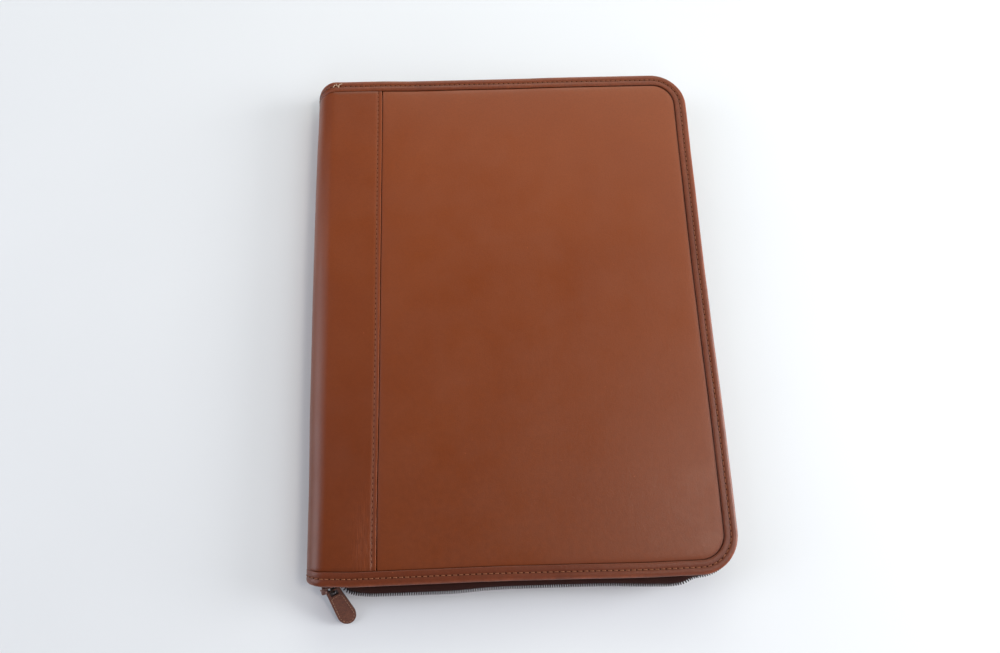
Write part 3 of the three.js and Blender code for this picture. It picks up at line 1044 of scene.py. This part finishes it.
def pull_tab(leg_middle, leg_half):
    """The pull: two leathers glued back to back, pressed at their edges and a little full between.
    The upper one has a window. The lower one shows in it, and lets only the bail's leg through."""
    eye_top = -pull_bar / 2
    window = ((bail_depth + 2 * pull_eye_side) / 2, eye_top, eye_top - pull_eye_length)
    slot_half = bail_depth / 2 + 2 * pull_leg_play
    slot = (slot_half, -leg_middle + leg_half, -leg_middle - leg_half)
    top = pull_layer("pull_top", glue_line, pull_thickness / 2, 0.0, window)
    bottom = pull_layer("pull_bottom", -pull_thickness / 2, -glue_line, 0.0001, slot)
    tab = join("pull_tab", [top, bottom])

    def full(at):
        across = 1 - clamped(abs(at.x) / pull_full_half) ** 2
        along = clamped((-pull_full_start - at.y) / 0.003) * clamped((at.y + pull_full_end) / 0.004)
        at.z += math.copysign(pull_fullness * across * along, at.z)
        return at

    reshape(tab, full)
    smooth(tab, 50)
    return tab


def burnish_sides_and_shade_window(tab):
    """Gives the pull's cut sides their second finish, a dark dye, and paints the leather seen in its
    window with it as painted shade.
    """
    window_half = (bail_depth + 2 * pull_eye_side) / 2 + 0.0003
    window_foot = -pull_bar / 2 - pull_eye_length - 0.0003
    for face in tab.data.polygons:
        in_window = abs(face.center.x) < window_half and window_foot < face.center.y < 0
        lower = face.center.z < 0.0 and face.normal.z > 0.5
        # The lower leather's face seen in the window takes the dark dye as painted shade.
        if abs(face.normal.z) < 0.55 or (in_window and lower):
            face.material_index = 1


def pull_stitch_places():
    """The pull's stitches: across it under the window, and down both its sides to the round tip."""
    places = []
    start = -pull_bar / 2 - pull_eye_length - 0.0012
    tip = pull_bar / 2 - pull_length + pull_tip_length
    z = pull_thickness / 2 + glue_line
    for x in (-0.0022, 0.0, 0.0022):
        places.append(facing(Vector((x, start, z + 0.00005)), Vector((1, 0, 0)), up))
    top_half = 0.0032
    tip_half = pull_tip_width / 2 - pull_stitch_inset
    for number in range(7):
        y = start - 0.0012 - number * pull_stitch_step
        if y < tip - 0.0004:
            break
        share = (start - y) / (start - tip)
        x = top_half + (tip_half - top_half) * share
        for side in (-1, 1):
            along = Vector((side * (tip_half - top_half), tip - start, 0)).normalized()
            places.append(facing(Vector((side * x, y, z + 0.00008)), along, up))
    for number in range(7):
        angle = math.pi + math.pi * (number + 0.5) / 7
        reach = pull_tip_length - pull_stitch_inset
        point = Vector((tip_half * math.cos(angle), tip + reach * math.sin(angle), z))
        along = Vector((-tip_half * math.sin(angle), reach * math.cos(angle), 0)).normalized()
        places.append(facing(point, along, up))
    shrink = Matrix.Diagonal((0.6, 0.7, 0.6, 1))
    return [place @ shrink for place in places]


def stitch():
    """One stitch of waxed thread, arched between its two holes, along x and facing z."""
    thread = added(
        "stitch",
        bpy.ops.mesh.primitive_circle_add,
        vertices=6,
        radius=thread_radius,
        fill_type="NGON",
        rotation=(0, math.pi / 2, 0),
    )
    fix_place()
    edit(thread)
    select_whole()
    for step in stitch_steps:
        push((step, 0, 0))
    leave_edit()
    close_up(thread)

    def arched(at):
        share = at.x / stitch_length * 2 - 1
        at.x -= stitch_length / 2
        at.z += stitch_rise - stitch_plunge * share**4
        return at

    reshape(thread, arched)
    smooth(thread, 80)
    return thread


def stitch_hole():
    """A pricked hole: a shallow dimple that the thread goes into, painted dark as its shade."""
    ball = bpy.ops.mesh.primitive_uv_sphere_add
    hole = added("stitch_hole", ball, segments=8, ring_count=5, radius=hole_radius)
    hole.scale = (1.2, 0.9, 0.22)
    fix_place()
    smooth(hole, 80)
    return hole


def facing(point, along, outward):
    """The matrix that lays a small piece at a point, its x along and its z outward."""
    across = outward.cross(along)
    return Matrix.Translation(point) @ Matrix((along, across, outward)).transposed().to_4x4()


def stitch_rows(half_step):
    """Where the stitches lie, or with half_step their holes: round both faces of the binding,
    over its spine ends and down both seams."""
    places = []
    start = 1.0 if half_step else 0.5
    total = edge_length(stitch_inset)
    count = round(total / stitch_pitch)
    for number in range(count):
        travel = (number + start) * total / count
        point, out = edge_point(travel, stitch_inset)
        along = Vector((-out.y, out.x, 0))
        places.append(facing(point + up * (case_thickness - row_depth), along, up))
        places.append(facing(point + up * back_row_depth, along, -up))
    end_count = round(math.pi * roll_radius / stitch_pitch)
    for side in (-1, 1):
        for number in range(end_count):
            angle = math.pi / 2 + math.pi * (number + start) / end_count
            outward = Vector((math.cos(angle), 0, math.sin(angle)))
            dip = (spine_end_dip if side < 0 else top_end_dip) * outward.x**2
            point = Vector((roll_x, side * (half_height - dip - stitch_inset), middle_z))
            point += outward * (roll_radius - row_depth)
            along = outward.cross(Vector((0, 1, 0)))
            places.append(facing(point, along, outward))
    seam_half = half_height - binding_line - 0.0015
    seam_count = round(2 * seam_half / stitch_pitch)
    for number in range(seam_count):
        y = (number + start) * 2 * seam_half / seam_count - seam_half
        for z, outward in ((case_thickness - 0.00018, up), (0.0003, -up)):
            point = Vector((seam_x - seam_stitch_inset, y, z))
            small = Matrix.Scale(seam_stitch_size, 4)
            places.append(facing(point, Vector((0, 1, 0)), outward) @ small)
    return places


def thread_end_places():
    """A few frayed ends of thread at the spine's top end."""
    ends = [(-0.1185, 0.1672, 60), (-0.1168, 0.1682, 115), (-0.1152, 0.1672, 75), (-0.114, 0.1686, 20)]
    places = []
    for x, y, turn in ends:
        point = Vector((x, y, case_thickness + 0.0003))
        thin = Matrix.Diagonal((1.0, 0.9, 1.2, 1))
        places.append(facing(point, heading(math.radians(turn)), up) @ thin)
    return places


# Finishes

def feed(tree, node, inputs):
    """Gives a node its inputs. Each is a number or colour, or the socket that feeds it."""
    for name, value in inputs.items():
        if isinstance(value, bpy.types.NodeSocket):
            tree.links.new(value, node.inputs[name])
        else:
            node.inputs[name].default_value = value


def add_node(tree, kind, inputs=None, **settings):
    node = tree.nodes.new(kind)
    for name, value in settings.items():
        setattr(node, name, value)
    feed(tree, node, inputs or {})
    return node


def new_finish(name):
    finish = bpy.data.materials.new(name)
    finish.use_nodes = True
    tree = finish.node_tree
    return finish, tree, tree.nodes["Principled BSDF"]


def coat(tree, shader, colour, roughness, specular=0.5, normal=None):
    """Feeds a finish's shader."""
    inputs = {"Base Color": colour, "Roughness": roughness, "Specular IOR Level": specular}
    if normal is not None:
        inputs["Normal"] = normal
    feed(tree, shader, inputs)


def object_place(tree):
    return add_node(tree, "ShaderNodeTexCoord").outputs["Object"]


def colour_ramp(tree, factor, stops):
    """A colour ramp of (place, colour) stops."""
    node = add_node(tree, "ShaderNodeValToRGB", {"Fac": factor})
    ramp = node.color_ramp
    while len(ramp.elements) > 2:
        ramp.elements.remove(ramp.elements[0])
    for element, (place, colour) in zip(ramp.elements, stops):
        element.position = place
        element.color = (*colour, 1)
    for place, colour in stops[2:]:
        element = ramp.elements.new(place)
        element.color = (*colour, 1)
    return node.outputs["Color"]


def spots(tree, place, scale, detail=3.0, roughness=0.55, distortion=0.0):
    inputs = {
        "Vector": place,
        "Scale": scale,
        "Detail": detail,
        "Roughness": roughness,
        "Distortion": distortion,
    }
    return add_node(tree, "ShaderNodeTexNoise", inputs).outputs["Fac"]


def bands(tree, place, scale, direction, distortion=0.0):
    inputs = {"Vector": place, "Scale": scale, "Distortion": distortion}
    return add_node(tree, "ShaderNodeTexWave", inputs, bands_direction=direction).outputs["Fac"]


def stretched(tree, place, scale):
    return add_node(tree, "ShaderNodeMapping", {"Vector": place, "Scale": scale}).outputs["Vector"]


def mixed(tree, factor, first, second, blend_type="MIX"):
    first, second = (
        value if isinstance(value, bpy.types.NodeSocket) else (*value, 1) for value in (first, second)
    )
    inputs = {0: factor, 6: first, 7: second}
    settings = {"data_type": "RGBA", "blend_type": blend_type}
    return add_node(tree, "ShaderNodeMix", inputs, **settings).outputs[2]


def toned(colour, factor, lift=0.0):
    """A lighter or darker tone of a colour."""
    return [value * factor + lift for value in colour]


def ranged(tree, value, low, high, to_low, to_high):
    inputs = {"Value": value, "From Min": low, "From Max": high, "To Min": to_low, "To Max": to_high}
    return add_node(tree, "ShaderNodeMapRange", inputs).outputs["Result"]


def bumped(tree, height, strength, distance, before=None):
    inputs = {"Height": height, "Strength": strength, "Distance": distance}
    if before is not None:
        inputs["Normal"] = before
    return add_node(tree, "ShaderNodeBump", inputs).outputs["Normal"]


def kept_number(tree, name):
    """A number that mark() kept at the points of a piece, and 0 on pieces without it."""
    return add_node(tree, "ShaderNodeAttribute", attribute_name=name).outputs["Fac"]


def times(tree, first, second):
    return add_node(tree, "ShaderNodeMath", {0: first, 1: second}, operation="MULTIPLY").outputs[0]


def tan_leather(name, dark, middle, light, seed=0.0, roughness=(0.34, 0.46), worn=0.0, painted_bottom_shade=0.75):
    """Smooth aniline leather: cloudy tone, fine pores, painted shade towards the bottom and in
    grooves, lighter with wear, painted highlights on the binding's fold, the spine's seam edge and
    wrinkles."""
    finish, tree, shader = new_finish(name)
    place = object_place(tree)
    height = add_node(tree, "ShaderNodeSeparateXYZ", {"Vector": place}).outputs["Y"]
    moved = add_node(tree, "ShaderNodeMapping", {"Vector": place, "Location": (seed, seed, 0)})
    place = moved.outputs["Vector"]
    cloud = spots(tree, place, 13.0, 4.0, 0.55, 0.4)
    colour = colour_ramp(tree, cloud, [(0.3, dark), (0.7, light), (0.5, middle)])
    # Painted shade: the leather darkens towards the bottom.
    bottom_shade_mask = ranged(tree, height, -0.17, 0.12, painted_bottom_shade, 0.0)
    colour = mixed(tree, bottom_shade_mask, colour, toned(dark, 0.5))
    mottle = spots(tree, place, 260.0, 4.0, 0.65)
    colour = mixed(tree, ranged(tree, mottle, 0.35, 0.7, 0.0, 0.3 + 0.4 * worn), colour, dark)
    fine = spots(tree, place, 1100.0, 2.0, 0.6)
    blotch = ranged(tree, fine, 0.4, 0.7, 0.0, 0.25 + 0.45 * worn)
    colour = mixed(tree, blotch, colour, toned(dark, 0.6))
    pores = add_node(tree, "ShaderNodeTexVoronoi", {"Vector": place, "Scale": 1300.0})
    pore_depth = ranged(tree, pores.outputs["Distance"], 0.0, 0.5, 0.0, 1.0)
    colour = mixed(tree, ranged(tree, pore_depth, 0.0, 0.45, 0.3, 0.0), colour, dark)
    grain = spots(tree, place, 800.0, 4.0, 0.6)
    creases = spots(tree, stretched(tree, place, (1.0, 0.4, 1.0)), 150.0, 6.0, 0.62, 1.4)
    # Lighter with wear on the binding's fold, and with a painted highlight there and along the spine's
    # seam edge.
    rub_and_highlight = times(tree, kept_number(tree, "rub_and_highlight"), ranged(tree, mottle, 0.3, 0.7, 0.4, 1.0))
    colour = mixed(tree, rub_and_highlight, colour, toned(light, 1.9, 0.02))
    # Painted shade: darker in the cover's groove, under the binding's edge, in the stitch channel and
    # in the slit at the top left.
    colour = mixed(tree, kept_number(tree, "painted_shade"), colour, toned(dark, 0.35))
    wrinkles = spots(tree, stretched(tree, place, (1.0, 0.07, 1.0)), 1300.0, 3.0, 0.6, 0.3)
    wrinkle_share = kept_number(tree, "wrinkled")
    # Painted highlight: lighter streaks along the spine's wrinkles.
    wrinkle_highlight = times(tree, wrinkle_share, ranged(tree, wrinkles, 0.45, 0.62, 0.0, 0.16))
    colour = mixed(tree, wrinkle_highlight, colour, toned(light, 1.7, 0.01))
    specks = ranged(tree, spots(tree, place, 420.0, 2.0, 0.5), 0.795, 0.805, 0.0, 0.3)
    colour = mixed(tree, specks, colour, toned(light, 2.2, 0.03))
    normal = bumped(tree, pore_depth, 0.28, 0.00007)
    normal = bumped(tree, grain, 0.34, 0.00007, normal)
    normal = bumped(tree, creases, 0.3 + 0.5 * worn, 0.00016, normal)
    if worn:
        normal = bumped(tree, spots(tree, place, 330.0, 3.0, 0.6, 0.8), 0.6 * worn, 0.0003, normal)
    folds = times(tree, wrinkles, wrinkle_share)
    normal = bumped(tree, folds, 0.7, 0.0003, normal)
    gloss = ranged(tree, spots(tree, place, 34.0, 5.0, 0.65), 0.3, 0.7, *roughness)
    coat(tree, shader, colour, gloss, 0.4, normal)
    return finish


def woven_tape():
    """The zip's tape: fine dark weave with ribs along its length."""
    finish, tree, shader = new_finish("zip_tape_weave")
    inputs = {"X": kept_number(tree, "along"), "Y": kept_number(tree, "across")}
    place = add_node(tree, "ShaderNodeCombineXYZ", inputs).outputs["Vector"]
    weave = times(tree, bands(tree, place, 600.0, "Y"), bands(tree, place, 700.0, "X"))
    colour = colour_ramp(tree, weave, [(0.1, (0.012, 0.003, 0.002)), (0.8, (0.09, 0.026, 0.018))])
    coat(tree, shader, colour, 0.8, 0.15, bumped(tree, weave, 0.6, 0.0001))
    return finish


def mottled(name, scale, detail, dark, light, roughness, specular):
    """A plain dull or waxy finish that varies softly between two tones."""
    finish, tree, shader = new_finish(name)
    tone = spots(tree, object_place(tree), scale, detail)
    coat(tree, shader, colour_ramp(tree, tone, [(0.3, dark), (0.7, light)]), roughness, specular)
    return finish


def enamelled_brass():
    """Brown enamel over brass, worn through in small spots."""
    finish, tree, shader = new_finish("brown_enamel")
    place = object_place(tree)
    rub_and_highlight = spots(tree, place, 700.0, 4.0, 0.6)
    share = ranged(tree, rub_and_highlight, 0.6, 0.68, 0.0, 1.0)
    enamel = colour_ramp(
        tree, spots(tree, place, 300.0), [(0.3, (0.11, 0.045, 0.033)), (0.7, (0.2, 0.1, 0.085))]
    )
    colour = mixed(tree, share, enamel, (0.55, 0.36, 0.14))
    coat(tree, shader, colour, ranged(tree, rub_and_highlight, 0.3, 0.7, 0.3, 0.45))
    feed(tree, shader, {"Metallic": ranged(tree, share, 0, 1, 0.2, 0.9)})
    return finish


def dark_bail():
    """Blackened brass, bright only where the pull rubs it."""
    finish, tree, shader = new_finish("blackened_brass")
    rub_and_highlight = spots(tree, object_place(tree), 900.0, 3.0, 0.6)
    share = ranged(tree, rub_and_highlight, 0.62, 0.68, 0.0, 1.0)
    coat(tree, shader, mixed(tree, share, (0.02, 0.012, 0.009), (0.5, 0.33, 0.13)), 0.5, 0.2)
    feed(tree, shader, {"Metallic": ranged(tree, share, 0, 1, 0.1, 0.9)})
    return finish


def thread_finish(name, dark, light):
    """Waxed thread with its twist."""
    finish, tree, shader = new_finish(name)
    twist = bands(tree, object_place(tree), 900.0, "DIAGONAL", 1.0)
    colour = colour_ramp(tree, twist, [(0.0, dark), (1.0, light)])
    coat(tree, shader, colour, 0.7, 0.25, bumped(tree, twist, 0.5, 0.00005))
    return finish


leather = tan_leather(
    "cover_leather", (0.228, 0.045, 0.008), (0.2425, 0.0498, 0.0092), (0.258, 0.0547, 0.0105)
)
spine_tan = tan_leather(
    "spine_leather",
    (0.2, 0.038, 0.007),
    (0.22, 0.0445, 0.0088),
    (0.24, 0.051, 0.0105),
    seed=0.2,
    roughness=(0.3, 0.41),
)
binding_leather = tan_leather(
    "binding_leather",
    (0.15, 0.028, 0.007),
    (0.205, 0.041, 0.0105),
    (0.25, 0.056, 0.0145),
    seed=0.4,
    worn=0.8,
    painted_bottom_shade=0.6,
)
pull_leather = tan_leather(
    "pull_leather",
    (0.085, 0.024, 0.012),
    (0.165, 0.05, 0.024),
    (0.24, 0.084, 0.042),
    seed=0.9,
    roughness=(0.45, 0.6),
    worn=1.0,
    painted_bottom_shade=0.1,
)
tape_weave = woven_tape()
tooth_nylon = mottled(
    "zip_nylon", 300.0, 2.0, (0.014, 0.003, 0.004), (0.034, 0.008, 0.01), 0.38, 0.3
)
slider_enamel = enamelled_brass()
thread_wax = thread_finish("waxed_thread", (0.17, 0.05, 0.02), (0.34, 0.135, 0.068))
pale_thread = thread_finish("pale_thread", (0.18, 0.08, 0.045), (0.46, 0.26, 0.17))
frayed_thread = thread_finish("frayed_thread", (0.45, 0.31, 0.2), (0.75, 0.58, 0.42))
# Painted shade: the stitch holes are dark dimples.
hole_shade = mottled(
    "pricked_hole_shade", 900.0, 3.0, (0.03, 0.008, 0.004), (0.075, 0.022, 0.01), 0.9, 0.05
)
# Dark burnished dye for the pull's cut sides, also used as painted shade in the pull's window.
edge_dye_and_window_shade = mottled(
    "burnished_edge_and_window_shade", 500.0, 3.0, (0.012, 0.005, 0.004), (0.03, 0.012, 0.009), 0.5, 0.5
)
pale_table = mottled("pale_table", 5.0, 2.0, (0.8, 0.82, 0.85), (0.82, 0.84, 0.87), 0.6, 0.2)
bail_black = dark_bail()

# Pieces

front_cover = cover_plate("front_cover", True)
# Painted shade in the cover's groove beside the binding.
mark(front_cover, "painted_shade", groove_shade)
dress(front_cover, leather, "cover_leather", "front_panel")
back_cover = cover_plate("back_cover", False)
dress(back_cover, leather, "cover_leather", "back_panel")
spine_leather = spine_sheet()
# Painted highlight along the spine wrap's edge at the front seam.
mark(spine_leather, "rub_and_highlight", lambda at: 0.55 * math.exp(-max(seam_x - at.x, 0) / 0.0003))
# Painted shade under the binding's edge and in the slit at the top left.
mark(spine_leather, "painted_shade", spine_shade)
# Where the spine wrinkles near its foot: bumped folds with painted highlights along them.
mark(spine_leather, "wrinkled", lambda at: near(at.x, -0.0935, 0.0065) * near(at.y, -0.148, 0.028))
dress(spine_leather, spine_tan, "cover_leather", "spine_wrap")
binding = binding_strip()
# Wear and a painted highlight along the outside of the binding's fold.
mark(binding, "rub_and_highlight", fold_rub_and_highlight)
# Painted shade in the stitch channel and in the slit at the top left.
mark(binding, "painted_shade", row_shade)
dress(binding, binding_leather, "cover_leather", "edge_binding")

front_tape = tape_strip("front_tape", True)
dress(front_tape, tape_weave, "zip_tape", "zip_tape_front")
back_tape = tape_strip("back_tape", False)
dress(back_tape, tape_weave, "zip_tape", "zip_tape_back")
teeth = zip_teeth()
dress(teeth, tooth_nylon, "zip_teeth", "zip_chain")

# The pull slopes from the bail down to the table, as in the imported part.
pull_reach = pull_length - pull_bar / 2
pull_tilt = math.asin((middle_z - pull_thickness / 2 - clearance) / pull_reach)
pull_turn = pull_swing - slider_lean
bar_across = pull_bar * math.cos(pull_tilt) + pull_thickness * math.sin(pull_tilt)
bail_clear = bar_across / math.cos(pull_turn) + bail_depth * math.tan(pull_turn) + 2 * clearance
leg_middle = (bail_clear / 2 + bail_wire / 2) / math.cos(pull_tilt)
leg_half = (bail_wire / 2) / math.cos(pull_tilt) + pull_thickness / 2 * math.tan(pull_tilt)
leg_half += pull_leg_play + bail_depth / 2 * math.tan(pull_turn)

slider_middle_out = (slider_nose_out + slider_mouth_out) / 2
slider_place = Vector((slider_x, -half_height - slider_middle_out, middle_z))
slider_turn = Matrix.Rotation(slider_lean, 4, "Z")
slider = zip_slider(bail_clear)
slider_matrix = Matrix.Translation(slider_place) @ slider_turn
set_down(slider, slider_matrix)
dress(slider, slider_enamel, "slider_metal", "zip_slider")
slider.data.materials.append(bail_black)
for face in slider.data.polygons:
    face.material_index = 1 if in_bail(face.center) else 0

pivot = slider_turn @ Vector((bail_from_centre, -slider_face - bail_clear / 2, 0)) + slider_place
pull_matrix = (
    Matrix.Translation(pivot)
    @ Matrix.Rotation(pull_swing, 4, "Z")
    @ Matrix.Rotation(pull_tilt, 4, "X")
)
pull = pull_tab(leg_middle, leg_half)
dress(pull, pull_leather, "pull_leather", "zip_pull")
pull.data.materials.append(edge_dye_and_window_shade)
burnish_sides_and_shade_window(pull)
set_down(pull, pull_matrix)
pull_thread = repeat_at("pull_stitches", stitch(), pull_stitch_places())
set_down(pull_thread, pull_matrix)
dress(pull_thread, pale_thread, "pull_leather")

stitches = repeat_at("stitches", stitch(), stitch_rows(False))
dress(stitches, thread_wax, "cover_leather")
thread_ends = repeat_at("thread_ends", stitch(), thread_end_places())
dress(thread_ends, frayed_thread, "cover_leather")
stitch_holes = repeat_at("stitch_holes", stitch_hole(), stitch_rows(True))
dress(stitch_holes, hole_shade, "cover_leather")

sewn = (front_cover, back_cover, spine_leather, binding, stitches, stitch_holes, thread_ends)
for piece in (*sewn, front_tape, back_tape, teeth):
    reshape(piece, settled)
slider_shift = Matrix.Translation((0, settled(slider_place).y - slider_place.y, 0))
for piece in (slider, pull, pull_thread):
    set_down(piece, slider_shift)

stop_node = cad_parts["zip_stop"]
stop_node.data.materials.clear()
stop_node.data.materials.append(slider_enamel)

# Stage

table_top = added("table_top", bpy.ops.mesh.primitive_plane_add, size=6, location=(0, 0, -0.0001))
fix_place()
table_top.data.materials.append(pale_table)

# Soft lights: name, place, size, power, colour. Each faces the case.
lights = [
    ("back_light", (0.0, 1.8, 1.0), 1.4, 13.1, (0.99, 1.0, 0.9)),
    ("key_light", (1.0, 1.3, 1.4), 1.2, 7.3, (0.95, 1.0, 0.85)),
    ("low_side_light", (1.6, 0.0, 0.5), 0.9, 25.4, (0.97, 0.985, 1.0)),
    ("side_light", (1.3, 0.2, 1.2), 1.0, 5.7, (0.95, 0.99, 1.0)),
    ("window_light", (0.68, -0.15, 1.5), 0.34, 4.8, (1.0, 0.88, 0.78)),
    ("corner_light", (0.95, -0.7, 1.2), 0.8, 2.0, (0.8, 0.85, 1.0)),
    ("wall_light", (-1.7, 0.1, 0.55), 1.3, 12.2, (0.93, 0.94, 1.0)),
    ("far_light", (-1.2, 0.4, 1.3), 1.0, 4.0, (0.91, 0.91, 1.0)),
    ("left_light", (-1.5, -0.2, 0.9), 0.8, 1.0, (0.78, 0.8, 1.0)),
    ("front_light", (0.3, -1.7, 0.9), 1.2, 4.7, (0.88, 0.9, 1.0)),
]
for name, place, size, power, colour in lights:
    light = added(name, bpy.ops.object.light_add, type="AREA", location=place)
    light.data.shape = "DISK"
    light.data.size = size
    light.data.energy = power
    light.data.color = colour
    light.rotation_euler = Vector(place).to_track_quat("Z", "Y").to_euler()

world = bpy.data.worlds.new("studio_air")
bpy.context.scene.world = world
world.use_nodes = True
world.node_tree.nodes["Background"].inputs["Color"].default_value = (0.86, 0.92, 1.0, 1)
world.node_tree.nodes["Background"].inputs["Strength"].default_value = 0.12
bpy.context.scene.view_settings.view_transform = "Standard"

# Camera: its place, and the directions of its right, its up and its back
camera_place = Vector((-0.023869, -0.150926, 0.492049))
camera_axes = Matrix(
    (
        (0.99892, -0.04043, 0.02286),
        (0.03233, 0.95863, 0.28283),
        (-0.03335, -0.28178, 0.9589),
    )
)
bpy.ops.object.camera_add(location=camera_place, rotation=camera_axes.transposed().to_euler())
camera = bpy.context.active_object
camera.data.lens = 27
camera.data.sensor_width = 36
camera.data.sensor_fit = "HORIZONTAL"
bpy.context.scene.camera = camera
